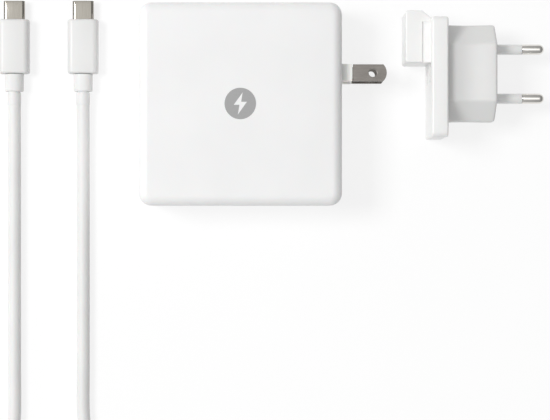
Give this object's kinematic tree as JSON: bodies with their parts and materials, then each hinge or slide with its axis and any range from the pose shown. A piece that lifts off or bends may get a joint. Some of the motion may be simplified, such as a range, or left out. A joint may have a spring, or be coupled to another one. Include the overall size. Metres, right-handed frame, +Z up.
{
  "type": "laptop power adapter",
  "caption": "Square USB-C laptop charger with fold-out flat mains blades, a clip-on round-pin mains head and a coiled USB-C cable.",
  "frame": {"origin": "centre of the charger body's underside", "axes": "+Z up; +X towards the side with the fold-out blades, -X is the USB-C port side; the charger lies flat"},
  "size_m": [0.2286, 0.2641, 0.028],
  "materials": {
    "white_polycarbonate": "fine spark-eroded satin, moulded polycarbonate",
    "carrier_plastic": "satin light grey moulding",
    "nickel_plated_brass": "nickel-plated, drawn finish",
    "stainless_steel": "drawn sheet",
    "cable_jacket": "satin white thermoplastic elastomer",
    "black_plastic": "moulded black plastic",
    "circuit_board": "solder-masked glass epoxy",
    "ferrite": "sintered ferrite",
    "copper": "bare copper alloy",
    "winding_tape": "polyester tape",
    "capacitor_sleeve": "shrink sleeve",
    "ceramic_disc": "epoxy-dipped disc",
    "aluminium_sheet": "bare rolled sheet",
    "insulation_film": "aramid paper",
    "wire_insulation": "satin",
    "hook_and_loop": "woven loop tape"
  },
  "bodies": {
    "charger": {"top_cover": "white_polycarbonate", "bottom_cover": "white_polycarbonate", "plug_bay": "white_polycarbonate", "contact_spring_upper": "nickel_plated_brass", "contact_spring_lower": "nickel_plated_brass", "detent_spring": "nickel_plated_brass", "usb_c_port_shell": "stainless_steel", "plug_shell_a": "stainless_steel", "plug_shell_b": "stainless_steel", "pivot_pin": "stainless_steel", "cable_lead_a": "cable_jacket", "cable_lead_b": "cable_jacket", "cable_coil": "cable_jacket", "strain_relief_a": "cable_jacket", "strain_relief_b": "cable_jacket", "plug_grip_a": "cable_jacket", "plug_grip_b": "cable_jacket", "plug_insert_a": "black_plastic", "plug_insert_b": "black_plastic", "usb_c_port_tongue": "black_plastic", "bridge_rectifier": "black_plastic", "controller_chip": "black_plastic", "switching_transistor": "black_plastic", "fuse": "black_plastic", "main_board": "circuit_board", "output_board": "circuit_board", "transformer_core": "ferrite", "choke_core": "ferrite", "choke_winding": "copper", "transformer_winding": "winding_tape", "x_capacitor": "winding_tape", "bulk_capacitor_1": "capacitor_sleeve", "bulk_capacitor_2": "capacitor_sleeve", "output_capacitor_1": "capacitor_sleeve", "output_capacitor_2": "capacitor_sleeve", "y_capacitor": "ceramic_disc", "heat_spreader_top": "aluminium_sheet", "heat_spreader_bottom": "aluminium_sheet", "heatsink_primary": "aluminium_sheet", "heatsink_secondary": "aluminium_sheet", "insulation_sheet": "insulation_film", "live_wire": "wire_insulation", "neutral_wire": "wire_insulation", "cable_tie": "hook_and_loop"},
    "us_blades": {"blade_carrier": "carrier_plastic", "blade_upper": "nickel_plated_brass", "blade_lower": "nickel_plated_brass"},
    "eu_head": {"head_base": "white_polycarbonate", "head_shell": "white_polycarbonate", "eu_pin_upper": "nickel_plated_brass", "eu_pin_lower": "nickel_plated_brass", "pin_sleeve_upper": "white_polycarbonate", "pin_sleeve_lower": "white_polycarbonate", "contact_clip_upper": "copper", "contact_clip_lower": "copper"}
  },
  "joints": [
    {"name": "blades_fold", "type": "hinge", "parent": "charger", "child": "us_blades", "pos_m": [0.0344, 0.0121, 0.014], "axis": [0, 0, 1], "range_deg": [-90, 0]},
    {"name": "head_slide", "type": "slide", "parent": "charger", "child": "eu_head", "axis": [1, 0, 0], "range_m": [-0.03325, 0]}
  ]
}
